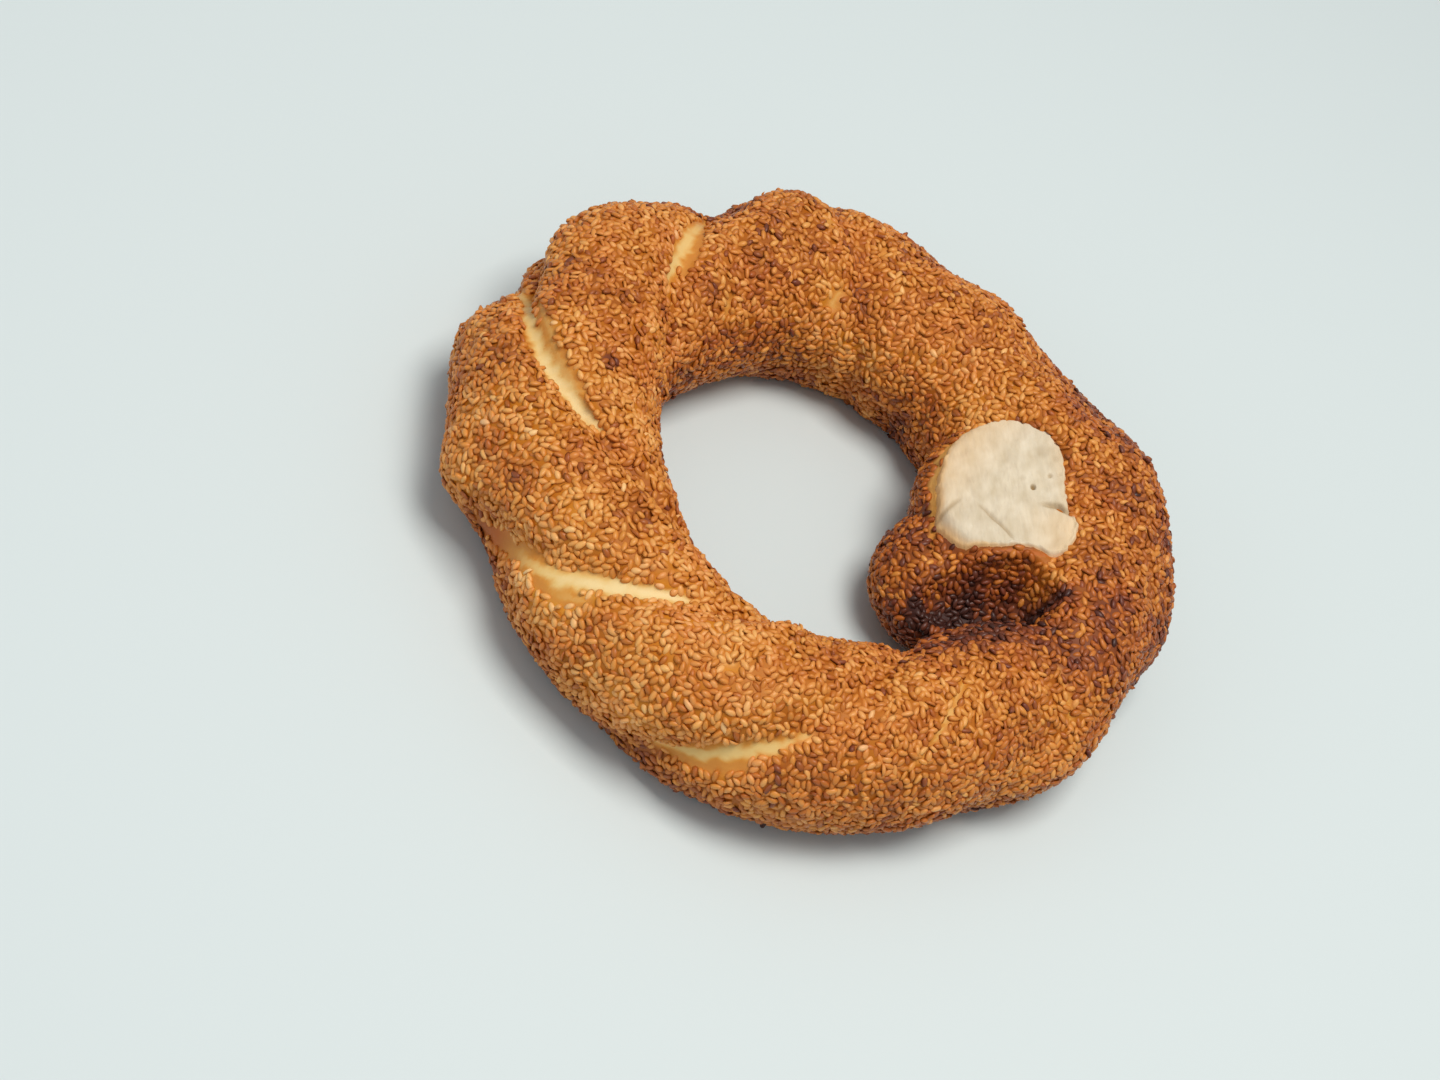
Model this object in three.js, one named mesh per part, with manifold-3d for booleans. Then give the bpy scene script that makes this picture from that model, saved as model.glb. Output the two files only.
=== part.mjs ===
// A simit: a ring of twisted dough with a flat underside. On the inner side of one arm the end of the
// rope overlaps the ring as a rounded knob with a lower flank towards the hole. The top of the knob is
// torn off, and in front of it a trough parts it from the rest of the arm.
// Millimetres and degrees. +Z is up, and the origin is at the middle of the footprint.

import * as THREE from "three";
import { mergeVertices } from "three/addons/utils/BufferGeometryUtils.js";
import Module from "manifold-3d";

// The rope bent into a ring
const ringRadius = 63.4; // centre line of the rope
const ropeHalfWidth = 21.8;
const ropeHeight = 38.5;
const baseAngle = -56; // tube angle at which the round side meets the flat underside
const ringSteps = 150;
const tubeSteps = 22; // round side, from one edge of the underside to the other
const baseSteps = 2;

// How the hand-rolled ring strays from a true one: cosine and sine parts of 1, 2, 3 and 4 waves round it
const radiusWaves = [[0, 0], [0.7, -0.65], [0.45, 0.55], [1.2, 0.9]];
const widthWaves = [[-0.6, 0.7], [0.3, 0.8], [-0.4, 0.15], [0.1, 0.35]];

// The furrows between the two twisted strands. ringAngle is where one crosses the top of the rope, and
// lean is how far it runs on round the ring for each degree that it climbs over the tube, inwards.
const furrows = [
  { ringAngle: 22, lean: 0.3, depth: 1.4, halfWidth: 8.5 },
  { ringAngle: 67, lean: 0.1, depth: 3, halfWidth: 8.5 },
  { ringAngle: 107, lean: 0.05, depth: 2.6, halfWidth: 7.5 },
  { ringAngle: 151.5, lean: 0.4, depth: 3.2, halfWidth: 7 },
  { ringAngle: 213, lean: 0.6, depth: 3.3, halfWidth: 6 },
  { ringAngle: 256.5, lean: 0.37, depth: 2.8, halfWidth: 6 },
  { ringAngle: 297, lean: 0.3, depth: 2.4, halfWidth: 6.5 },
  { ringAngle: 344, lean: 0.22, depth: 1.8, halfWidth: 8 },
];
const furrowFade = 24; // tube angle over which a furrow runs out, from each edge of the underside

// The strands swell out between the furrows, and are pinched in where a furrow runs over the outer side
const swells = [
  { ringAngle: 37, tubeAngle: 45, height: 2.4, size: 11 },
  { ringAngle: 119, tubeAngle: 54, height: 2.4, size: 12 },
  { ringAngle: 125, tubeAngle: 20, height: 3.4, size: 8 },
  { ringAngle: 161, tubeAngle: 48, height: 3.8, size: 11 },
  { ringAngle: 187, tubeAngle: -2, height: 2.1, size: 9 },
  { ringAngle: 215, tubeAngle: -12, height: 4.4, size: 9 },
  { ringAngle: 244, tubeAngle: 0, height: 1.2, size: 10 },
  { ringAngle: 335, tubeAngle: 6, height: 1.8, size: 9 },
  { ringAngle: 51, tubeAngle: 60, height: -3, size: 9 },
  { ringAngle: 71, tubeAngle: 40, height: -2.2, size: 7 },
  { ringAngle: 88, tubeAngle: 51, height: -2.4, size: 8 },
  { ringAngle: 136, tubeAngle: 22, height: -6.8, size: 7 },
  { ringAngle: 138, tubeAngle: 52, height: -2.8, size: 6 },
  { ringAngle: 180, tubeAngle: 30, height: -4.5, size: 8 },
  { ringAngle: 177.5, tubeAngle: -2, height: -5.5, size: 7 },
  { ringAngle: 222, tubeAngle: -32, height: -5, size: 7 },
  { ringAngle: 229, tubeAngle: -4, height: -2.8, size: 7 },
  { ringAngle: 356.5, tubeAngle: 12, height: -2.8, size: 9 },
];

// The overlapping rope end
const knobCentre = [40, 20, 20];
const knobHalfSizes = [21, 27, 19.5]; // across the rope, along it, up
const knobTurn = 26;
const flankCentre = [32.5, 0.5, 13];
const flankHalfSizes = [14.5, 17.5, 12.5];
const flankTurn = 15;
const lumpSegments = [26, 16];

// The tear through the top of the knob: a plane through tearPoint, with the outline of the missing crust
const tearPoint = [44.5, 3.5, 34.35];
const tearAcross = [0.855, 0.42, 0.3]; // along the straight lower edge of the tear
const tearNormal = [-0.273, -0.123, 0.954];
const tearRise = 22; // how far the torn-off piece reached above the tear
const tearOutline = [
  [14, -2], [16.5, 6], [15.4, 18], [13.8, 29], [9, 36.5], [1, 39],
  [-6, 37.4], [-13, 32.5], [-18, 24], [-21, 14], [-20, 4], [-15, -2],
];
const tearSegments = 36;

// The trough in front of the knob: a lying capsule, stretched downwards, whose far end is in the hole
const troughRadius = 9.3;
const troughDepth = 23;
const troughLength = 14; // of its straight part
const troughEnd = [53.6, 7]; // middle of its blunt end, on the ring
const troughLevel = 38;
const troughTurn = 26;
const troughSegments = [8, 20];

const crustColour = 0xc98a45;

const radians = THREE.MathUtils.degToRad;

function waves(parts, ringAngle) {
  const turn = radians(ringAngle);
  return parts.reduce(
    (sum, [cosPart, sinPart], i) => sum + cosPart * Math.cos((i + 1) * turn) + sinPart * Math.sin((i + 1) * turn),
    0,
  );
}

// The shorter way round from one angle to another
function angleBetween(from, to) {
  return THREE.MathUtils.euclideanModulo(to - from + 180, 360) - 180;
}

// How far the crust lies below the plain rope
function furrowDepth(ringAngle, tubeAngle) {
  const fromEdge = Math.min(tubeAngle - baseAngle, 180 - baseAngle - tubeAngle);
  const fade = THREE.MathUtils.smoothstep(fromEdge, 0, furrowFade);
  const alongRing = radians(1) * ringRadius;
  let depth = 0;
  for (const furrow of furrows) {
    const crossing = furrow.ringAngle + furrow.lean * (tubeAngle - 90);
    const distance = angleBetween(crossing, ringAngle) * alongRing;
    depth += fade * furrow.depth * Math.exp(-((distance / furrow.halfWidth) ** 2));
  }
  for (const swell of swells) {
    const along = angleBetween(swell.ringAngle, ringAngle) * alongRing;
    const round = radians(tubeAngle - swell.tubeAngle) * ropeHalfWidth;
    depth -= fade * swell.height * Math.exp(-(along ** 2 + round ** 2) / swell.size ** 2);
  }
  return depth;
}

function ropePoint(ringAngle, tubeAngle) {
  const halfWidth = ropeHalfWidth + waves(widthWaves, ringAngle);
  const height = ropeHeight * (halfWidth / ropeHalfWidth);
  const depth = furrowDepth(ringAngle, tubeAngle);
  const tube = radians(tubeAngle);
  const lowest = Math.sin(radians(baseAngle));
  const radius = ringRadius + waves(radiusWaves, ringAngle) + (halfWidth - depth) * Math.cos(tube);
  const rise = (Math.sin(tube) - lowest) / (1 - lowest);
  const up = height * rise - depth * Math.max(Math.sin(tube), 0);
  const turn = radians(ringAngle);
  return new THREE.Vector3(radius * Math.cos(turn), radius * Math.sin(turn), up);
}

function closedGeometry(points, triangles) {
  const geometry = new THREE.BufferGeometry().setFromPoints(points);
  geometry.setIndex(triangles);
  return geometry;
}

function ropeRing() {
  const roundSide = 180 - 2 * baseAngle;
  const sectionSize = tubeSteps + baseSteps;
  const points = [];
  const triangles = [];
  for (let i = 0; i < ringSteps; i += 1) {
    const ringAngle = (360 * i) / ringSteps;
    for (let j = 0; j <= tubeSteps; j += 1) {
      points.push(ropePoint(ringAngle, baseAngle + (roundSide * j) / tubeSteps));
    }
    const innerEdge = points.at(-1);
    const outerEdge = points.at(-1 - tubeSteps);
    for (let j = 1; j < baseSteps; j += 1) {
      points.push(innerEdge.clone().lerp(outerEdge, j / baseSteps));
    }
    for (let j = 0; j < sectionSize; j += 1) {
      const next = (j + 1) % sectionSize;
      const here = i * sectionSize;
      const ahead = ((i + 1) % ringSteps) * sectionSize;
      triangles.push(here + j, ahead + j, ahead + next);
      triangles.push(here + j, ahead + next, here + next);
    }
  }
  return closedGeometry(points, triangles);
}

function lump(centre, halfSizes, turn) {
  const geometry = new THREE.SphereGeometry(1, ...lumpSegments);
  geometry.rotateX(Math.PI / 2);
  geometry.scale(...halfSizes);
  geometry.rotateZ(radians(turn));
  geometry.translate(...centre);
  return geometry;
}

function tornPiece() {
  const outline = new THREE.CatmullRomCurve3(tearOutline.map(([x, y]) => new THREE.Vector3(x, y, 0)), true);
  const shape = new THREE.Shape(outline.getPoints(tearSegments).slice(1));
  const geometry = new THREE.ExtrudeGeometry(shape, { depth: tearRise, bevelEnabled: false });
  const normal = new THREE.Vector3(...tearNormal).normalize();
  const along = normal.clone().cross(new THREE.Vector3(...tearAcross)).normalize();
  const across = along.clone().cross(normal);
  const frame = new THREE.Matrix4().makeBasis(across, along, normal);
  return geometry.applyMatrix4(frame.setPosition(...tearPoint));
}

function trough() {
  const geometry = new THREE.CapsuleGeometry(troughRadius, troughLength, ...troughSegments);
  geometry.rotateZ(Math.PI / 2);
  geometry.scale(1, 1, troughDepth / troughRadius);
  geometry.translate(-troughLength / 2 - troughRadius, -troughRadius, 0);
  geometry.rotateZ(radians(troughTurn));
  const [x, y] = troughEnd;
  return geometry.translate(x, y, troughLevel);
}

const wasm = await Module();
wasm.setup();

function toSolid(geometry) {
  const bare = geometry.clone();
  bare.deleteAttribute("normal");
  bare.deleteAttribute("uv");
  const merged = mergeVertices(bare);
  return new wasm.Manifold(
    new wasm.Mesh({
      numProp: 3,
      vertProperties: merged.attributes.position.array,
      triVerts: new Uint32Array(merged.index.array),
    }),
  );
}

function fromSolid(solid) {
  const { vertProperties, triVerts } = solid.getMesh();
  const geometry = new THREE.BufferGeometry();
  geometry.setAttribute("position", new THREE.BufferAttribute(vertProperties, 3));
  geometry.setIndex(new THREE.BufferAttribute(triVerts, 1));
  geometry.computeVertexNormals();
  return geometry;
}

const knob = toSolid(lump(knobCentre, knobHalfSizes, knobTurn));
const flank = toSolid(lump(flankCentre, flankHalfSizes, flankTurn));
const dough = toSolid(ropeRing()).add(knob).add(flank);
const bread = dough.subtract(toSolid(tornPiece())).subtract(toSolid(trough()));

// The finished bread stands with the middle of its footprint over the origin
const breadGeometry = fromSolid(bread);
breadGeometry.computeBoundingBox();
const { min, max } = breadGeometry.boundingBox;
breadGeometry.translate(-(min.x + max.x) / 2, -(min.y + max.y) / 2, -min.z);

const crust = new THREE.MeshStandardMaterial({ color: crustColour, roughness: 0.8, metalness: 0 });
const breadRing = new THREE.Mesh(breadGeometry, crust);
breadRing.name = "bread_ring";

const simit = new THREE.Group();
simit.add(breadRing);

export default simit;
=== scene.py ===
# A simit, the Turkish ring of twisted dough with a sesame crust, lying on a pale table.
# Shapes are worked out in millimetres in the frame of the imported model, and meshes are written in metres.

import math

import bpy
import numpy as np
from mathutils import Matrix, Vector, noise
from mathutils.bvhtree import BVHTree
from mathutils.kdtree import KDTree


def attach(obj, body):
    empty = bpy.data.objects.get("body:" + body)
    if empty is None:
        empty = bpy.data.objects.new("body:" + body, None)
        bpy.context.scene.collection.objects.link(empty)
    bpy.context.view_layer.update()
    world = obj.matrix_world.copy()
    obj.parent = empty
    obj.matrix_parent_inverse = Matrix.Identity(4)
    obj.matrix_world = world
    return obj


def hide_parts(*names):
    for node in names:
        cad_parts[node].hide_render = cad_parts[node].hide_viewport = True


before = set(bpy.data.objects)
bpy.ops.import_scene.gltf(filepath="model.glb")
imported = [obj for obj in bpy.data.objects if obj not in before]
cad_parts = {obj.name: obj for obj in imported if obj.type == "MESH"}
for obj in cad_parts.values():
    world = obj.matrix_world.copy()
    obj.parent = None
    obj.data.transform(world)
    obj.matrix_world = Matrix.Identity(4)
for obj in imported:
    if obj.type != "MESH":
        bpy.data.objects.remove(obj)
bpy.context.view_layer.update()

mm = 0.001
randomSeed = 7


def startNew():
    if bpy.context.mode != "OBJECT":
        bpy.ops.object.mode_set(mode="OBJECT")
    bpy.ops.object.select_all(action="DESELECT")


def finishModifiers(piece):
    bpy.context.view_layer.objects.active = piece
    for modifier in list(piece.modifiers):
        bpy.ops.object.modifier_apply(modifier=modifier.name)


def bakePlace(piece):
    startNew()
    piece.select_set(True)
    bpy.context.view_layer.objects.active = piece
    bpy.ops.object.transform_apply(location=True, rotation=True, scale=True)


def readPoints(piece):
    points = np.empty(len(piece.data.vertices) * 3)
    piece.data.vertices.foreach_get("co", points)
    return points.reshape(-1, 3) / mm


def writePoints(piece, points):
    piece.data.vertices.foreach_set("co", (np.asarray(points) * mm).ravel())
    piece.data.update()


def readNormals(piece):
    normals = np.empty(len(piece.data.vertices) * 3)
    piece.data.vertices.foreach_get("normal", normals)
    return normals.reshape(-1, 3)


def writeMask(piece, name, values):
    layer = piece.data.attributes.new(name, "FLOAT", "POINT")
    layer.data.foreach_set("value", np.asarray(values, dtype=np.float32))


def ramp(value, low, high):
    t = np.clip((value - low) / (high - low), 0, 1)
    return t * t * (3 - 2 * t)


def softLower(first, second, blend):
    # the lower of two values, with a rounded change from one to the other
    return 0.5 * (first + second - np.sqrt((first - second) ** 2 + blend**2))


def lumps(points, size, shift=0.0):
    # smooth noise from about -1 to 1, with lumps of about this size in millimetres
    scaled = np.asarray(points) / size + shift
    return np.array([noise.noise(Vector(p)) for p in scaled])


def unit(vectors):
    return vectors / np.linalg.norm(vectors, axis=-1, keepdims=True)


rope = {
    "ringRadius": 63.4,
    "halfWidth": 21.8,
    "height": 38.5,
    "baseAngle": -56,  # tube angle of the underside's edge; 0 is outwards, 90 is up, 180 is the hole
    "centre": (1.11, -0.36),  # of the ring, in the frame
    "radiusWaves": [(0, 0), (0.7, -0.65), (0.45, 0.55), (1.2, 0.9)],  # cosine and sine of 1 to 4 waves
    "widthWaves": [(-0.6, 0.7), (0.3, 0.8), (-0.4, 0.15), (0.1, 0.35)],
    "furrowFade": 24,
    # between the two twisted strands: angle round the ring, lean, depth, half width
    "furrows": [
        (22, 0.3, 1.4, 8.5), (67, 0.1, 3.0, 8.5), (103, 0.25, 1.4, 10), (110.5, -0.11, 2.4, 4.2),
        (151.5, 0.4, 3.3, 6.5), (213, 0.6, 3.6, 6), (256.5, 0.37, 3.4, 6), (297, 0.3, 2.8, 6.5),
        (344, 0.22, 2.0, 8),
    ],
    # where a strand swells or is pinched: angle round the ring, tube angle, height, size
    "swells": [
        (37, 45, 2.4, 11), (119, 54, 2.4, 12), (125, 20, 3.4, 8), (161, 48, 3.8, 11), (187, -2, 2.1, 9),
        (214, -8, 3.4, 9), (216.5, -21, 3.2, 6), (244, 0, 1.2, 10), (335, 6, 1.8, 9), (278.5, 129, 1.6, 7),
        (51, 60, -3, 9), (71, 62, -1, 7), (71, 34, -2.1, 6), (88, 51, -2.4, 8), (136, 20, -6.8, 6.5),
        (138, 52, -2.8, 6), (180, 30, -4.5, 8), (177.5, -2, -5.8, 6), (221.5, -32, -5.7, 6.5),
        (229, -4, -2.8, 7), (356.5, 14, -2.7, 9), (2, -7, -1.4, 8), (300, -28, -0.5, 10),
        (115, 195, -1.8, 12), (170, 178, -2, 9), (265, 127, -1.4, 8), (289, 125, -1.2, 7),
    ],
    "ringSteps": 540,
    "tubeSteps": 132,
    "edgeRounding": 0.035,  # of the underside's edge, as a share of the height
    "onSeeds": 0.3,  # how far the seeds under it hold it off the table
    "faceSize": 0.9,  # of the finished crust
    "smoothings": 6,
    "wobble": (0.42, 0.2),  # how uneven the crust is, over lumps of 9 mm and of 3.5 mm
}


def waveSum(parts, ringAngle):
    turn = np.radians(ringAngle)
    total = np.zeros_like(turn)
    for i, (cosPart, sinPart) in enumerate(parts):
        total += cosPart * np.cos((i + 1) * turn) + sinPart * np.sin((i + 1) * turn)
    return total


def angleBetween(start, end):
    return (end - start + 180) % 360 - 180


def ropeDepth(ringAngle, tubeAngle):
    base = rope["baseAngle"]
    fromEdge = np.minimum(tubeAngle - base, 180 - base - tubeAngle)
    fade = ramp(fromEdge, 0, rope["furrowFade"])
    alongRing = math.radians(1) * rope["ringRadius"]
    depth = np.zeros_like(ringAngle)
    for crossing, lean, deep, halfWidth in rope["furrows"]:
        distance = angleBetween(crossing + lean * (tubeAngle - 90), ringAngle) * alongRing
        depth += fade * deep * np.exp(-((distance / halfWidth) ** 2))
    for ringPlace, tubePlace, height, size in rope["swells"]:
        along = angleBetween(ringPlace, ringAngle) * alongRing
        across = np.radians(tubeAngle - tubePlace) * rope["halfWidth"]
        depth -= fade * height * np.exp(-(along**2 + across**2) / size**2)
    return depth


def ropePoints(ringAngle, tubeAngle):
    ringAngle = np.asarray(ringAngle, float)
    tubeAngle = np.asarray(tubeAngle, float)
    halfWidth = rope["halfWidth"] + waveSum(rope["widthWaves"], ringAngle)
    height = rope["height"] * halfWidth / rope["halfWidth"]
    depth = ropeDepth(ringAngle, tubeAngle)
    tube = np.radians(tubeAngle)
    lowest = math.sin(math.radians(rope["baseAngle"]))
    centreLine = rope["ringRadius"] + waveSum(rope["radiusWaves"], ringAngle)
    radius = centreLine + (halfWidth - depth) * np.cos(tube)
    rise = (np.sin(tube) - lowest) / (1 - lowest)
    soft = rope["edgeRounding"]
    rise = 0.5 * (rise + np.sqrt(rise**2 + soft**2)) - 0.5 * soft * ramp(rise, -soft * 6, 0)
    up = height * np.maximum(rise, 0) - depth * np.maximum(np.sin(tube), 0)
    turn = np.radians(ringAngle)
    x = radius * np.cos(turn) + rope["centre"][0]
    y = radius * np.sin(turn) + rope["centre"][1]
    return np.stack([x, y, up], axis=-1)


def ropeAngles(points):
    # the ring angle and tube angle of points on or near the rope's surface
    x = points[:, 0] - rope["centre"][0]
    y = points[:, 1] - rope["centre"][1]
    ringAngle = np.degrees(np.arctan2(y, x)) % 360
    halfWidth = rope["halfWidth"] + waveSum(rope["widthWaves"], ringAngle)
    outwards = (np.hypot(x, y) - rope["ringRadius"] - waveSum(rope["radiusWaves"], ringAngle)) / halfWidth
    lowest = math.sin(math.radians(rope["baseAngle"]))
    rise = points[:, 2] / (rope["height"] * halfWidth / rope["halfWidth"])
    tubeAngle = np.degrees(np.arctan2(rise * (1 - lowest) + lowest, outwards))
    return ringAngle, np.where(tubeAngle < -90, tubeAngle + 360, tubeAngle)


def makeRope():
    startNew()
    bpy.ops.mesh.primitive_torus_add(
        major_radius=rope["ringRadius"] * mm,
        minor_radius=rope["halfWidth"] * mm,
        major_segments=rope["ringSteps"],
        minor_segments=rope["tubeSteps"],
    )
    piece = bpy.context.object
    piece.name = "bakedCrust"
    points = readPoints(piece)
    ringAngle = np.degrees(np.arctan2(points[:, 1], points[:, 0])) % 360
    outwards = np.hypot(points[:, 0], points[:, 1]) - rope["ringRadius"]
    tubeAngle = np.degrees(np.arctan2(points[:, 2], outwards))
    tubeAngle = np.where(tubeAngle < -90, tubeAngle + 360, tubeAngle)
    writePoints(piece, ropePoints(ringAngle, tubeAngle))
    return piece


knob = {
    "centre": (40, 20, 20),
    "halfSizes": (21, 27, 19.5),  # across the rope, along it, up
    "turn": 26,
}
flank = {
    "centre": (32.5, 0.5, 13),
    "halfSizes": (14.5, 17.5, 12.5),
    "turn": 15,
    "browner": 0.03,  # painted shadow: how much darker it is than the rest, in parts of heat
}
tear = {
    "point": (44.5, 3.5, 34.35),
    "across": (0.855, 0.42, 0.3),  # along the straight lower edge
    "normal": (-0.273, -0.123, 0.954),
    "rise": 22,
    "outline": [
        (14, -2), (16.5, 6), (15.4, 18), (13.8, 29), (9, 36.5), (1, 39),
        (-6, 37.4), (-13, 32.5), (-18, 24), (-21, 14), (-20, 4), (-15, -2),
    ],
}
trough = {
    "radius": 9.3,
    "depth": 23,
    "length": 14,
    "end": (53.6, 7),
    "level": 38,
    "turn": 26,
    # how much browner the crust in it is coloured, in parts of heat: a nearly black painted shadow along the
    # bottom, and on the wall under the crumb partly browning and partly painted shade
    "bottomShadow": 1.6,
    "bottomPlace": -0.8,  # across the trough
    "bottomHalfWidth": (2.6, 4.0),  # at both ends, and in the middle
    "wallShadeAndHeat": 0.45,  # on the wall under the crumb: partly browning, partly painted shade
    "topShare": 0.3,  # of that, on the wall's top
    "endHeat": -0.2,  # at the end on the ring
}


def inFrame(point):
    x, y, z = point
    return np.array([x + rope["centre"][0], y + rope["centre"][1], z])


def tearAxes():
    normal = unit(np.array(tear["normal"]))
    along = unit(np.cross(normal, np.array(tear["across"])))
    return np.cross(along, normal), along, normal


def onTear(points):
    # across, along and above the plane of the tear
    away = points - inFrame(tear["point"])
    return [away @ axis for axis in tearAxes()]


def smoothLoop(corners, steps):
    # a closed curve through the corners, as a Catmull-Rom spline
    corners = np.array(corners, float)
    count = len(corners)
    loop = []
    for i in range(count):
        a, b, c, d = corners[i - 1], corners[i], corners[(i + 1) % count], corners[(i + 2) % count]
        square = 2 * a - 5 * b + 4 * c - d
        cube = 3 * b - a - 3 * c + d
        for t in np.linspace(0, 1, steps, endpoint=False):
            loop.append(0.5 * (2 * b + (c - a) * t + square * t**2 + cube * t**3))
    return np.array(loop)


def makeLump(lump):
    startNew()
    bpy.ops.mesh.primitive_uv_sphere_add(segments=72, ring_count=44, radius=mm)
    piece = bpy.context.object
    bpy.ops.object.mode_set(mode="EDIT")
    bpy.ops.transform.resize(value=lump["halfSizes"], center_override=(0, 0, 0))
    bpy.ops.object.mode_set(mode="OBJECT")
    piece.rotation_euler.z = math.radians(lump["turn"])
    piece.location = Vector(inFrame(lump["centre"]) * mm)
    bakePlace(piece)
    return piece


def makeTornPiece():
    startNew()
    loop = smoothLoop(tear["outline"], 6)
    bpy.ops.mesh.primitive_circle_add(vertices=len(loop), radius=mm, fill_type="NGON")
    piece = bpy.context.object
    across, along, normal = tearAxes()
    base = inFrame(tear["point"]) + loop[:, :1] * across + loop[:, 1:] * along
    writePoints(piece, base)
    bpy.ops.object.mode_set(mode="EDIT")
    bpy.ops.mesh.select_all(action="SELECT")
    rise = tear["rise"] * mm * normal
    bpy.ops.mesh.extrude_region_move(TRANSFORM_OT_translate={"value": tuple(rise)})
    bpy.ops.mesh.select_all(action="SELECT")
    bpy.ops.mesh.normals_make_consistent(inside=False)
    bpy.ops.object.mode_set(mode="OBJECT")
    return piece


def troughTurn():
    return np.array(Matrix.Rotation(math.radians(trough["turn"]), 3, "Z"))


def makeTrough():
    startNew()
    bpy.ops.mesh.primitive_uv_sphere_add(segments=64, ring_count=32, radius=trough["radius"] * mm)
    piece = bpy.context.object
    points = readPoints(piece)
    points[:, 0] += np.where(points[:, 0] < -1e-4, -trough["length"], 0)
    points[:, 2] *= trough["depth"] / trough["radius"]
    points += (-trough["radius"], -trough["radius"], 0)
    points = points @ troughTurn().T + inFrame((*trough["end"], trough["level"]))
    writePoints(piece, points)
    return piece


def inTrough(points):
    # how far inside the trough's cutter a point is, negative outside, and its place along and across it
    radius = trough["radius"]
    local = (points - inFrame((*trough["end"], trough["level"]))) @ troughTurn() + (radius, radius, 0)
    local[:, 2] *= radius / trough["depth"]
    along = local[:, 0].copy()
    local[:, 0] -= np.clip(local[:, 0], -trough["length"], 0)
    return radius - np.linalg.norm(local, axis=1), along, local[:, 1]


def cutOrJoin(piece, other, operation):
    modifier = piece.modifiers.new(operation, "BOOLEAN")
    modifier.operation = operation
    modifier.solver = "EXACT"
    modifier.object = other
    finishModifiers(piece)
    bpy.data.objects.remove(other)


# how brown the crust and its seeds are coloured, from 0 to 1: toasting, with painted shade low on the far
# side, in the furrows, towards the hole, in the trough and on the flank
bakingAndShade = {
    "base": 0.455,
    "patches": 0.12,  # over patches of about 14 mm, and half as much again over smaller ones
    "right": 0.1,  # how much browner the right arm is
    "inside": 0.12,  # painted shade: how much darker it is towards the hole
    "low": 0.15,  # and towards the table
    "farLowShade": 0.14,  # painted shade: how much darker it is low on the far side, which faces away from the light
    "furrow": 0.02,  # painted shade and light: browner for each millimetre of furrow depth and paler on swells, up to three
    "browningAndShade": 0.3,  # for each part of heat and painted shade, as on the wall under the tear
    "spread": 0.1,  # from seed to seed
    # browner and paler places: ring angle, tube angle, radius in millimetres, how much
    "spots": [
        (28, 75, 5, 0.2), (20, 92, 7, -0.07), (40, 62, 7, 0.1), (47, 85, 4, 0.17), (54, 50, 6, 0.14),
        (60, 120, 7, -0.09), (70, 150, 10, -0.1), (85, 95, 12, 0.02), (100, 150, 9, -0.11),
        (110, 180, 12, -0.18), (110, 96, 2.5, 0.2), (107.5, 124, 3, 0.22), (105, 140, 3, 0.22),
        (120, 60, 9, 0.11), (135, 100, 15, 0.12), (152, 125, 4, 0.22), (160, 119, 8, -0.1),
        (173, 84, 12, 0.1), (180, 125, 4, -0.12), (180, 150, 12, 0.02), (198, 105, 2.5, 0.35),
        (200, 50, 6, 0.05), (215, 60, 14, -0.1), (229, 58, 11, -0.1), (220, 92, 8, 0.09), (222, 37, 5, 0.2),
        (237, 100, 4, 0.15), (241, 90, 7, -0.05), (243, 33, 9, -0.12), (260, 0, 8, -0.14),
        # the browner spots high on the inside of the right arm, from 320 to 351 degrees, are painted shade
        # beside the trough
        (262, 85, 13, -0.17), (320, 88, 9, -0.07), (320, 120, 9, 0.13), (329, 137, 5.5, 0.25),
        (335, 123, 5, 0.16), (340, 60, 8, -0.09), (342, 90, 7, 0.14), (340, 122, 7, 0.16),
        (351, 112, 3.5, 0.16), (0, 88, 9, 0.1), (0, 122, 5, -0.04),
    ],
}


# toasting colour, with painted shade and light added
def toastAndShadeField(points, heatAndShade):
    ringAngle, tubeAngle = ropeAngles(points)
    toast = bakingAndShade["base"] + bakingAndShade["patches"] * (lumps(points, 14) + 0.5 * lumps(points, 5))
    toast = toast + bakingAndShade["right"] * np.maximum(np.cos(np.radians(ringAngle - 5)), 0) ** 2
    toast = toast + bakingAndShade["inside"] * ramp(tubeAngle, 135, 180)
    toast = toast + bakingAndShade["low"] * (1 - ramp(tubeAngle, -45, 15))
    farSide = ramp(np.sin(np.radians(ringAngle + 10)), 0, 0.5)
    toast = toast + bakingAndShade["farLowShade"] * farSide * (1 - ramp(tubeAngle, 25, 72))
    toast = toast + bakingAndShade["furrow"] * np.clip(ropeDepth(ringAngle, tubeAngle), -3, 3)
    for ringPlace, tubePlace, radius, extra in bakingAndShade["spots"]:
        away = np.linalg.norm(points - ropePoints(np.array([ringPlace]), np.array([tubePlace])), axis=1)
        toast = toast + extra * np.exp(-((away / radius) ** 2))
    return toast + bakingAndShade["browningAndShade"] * heatAndShade


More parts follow.
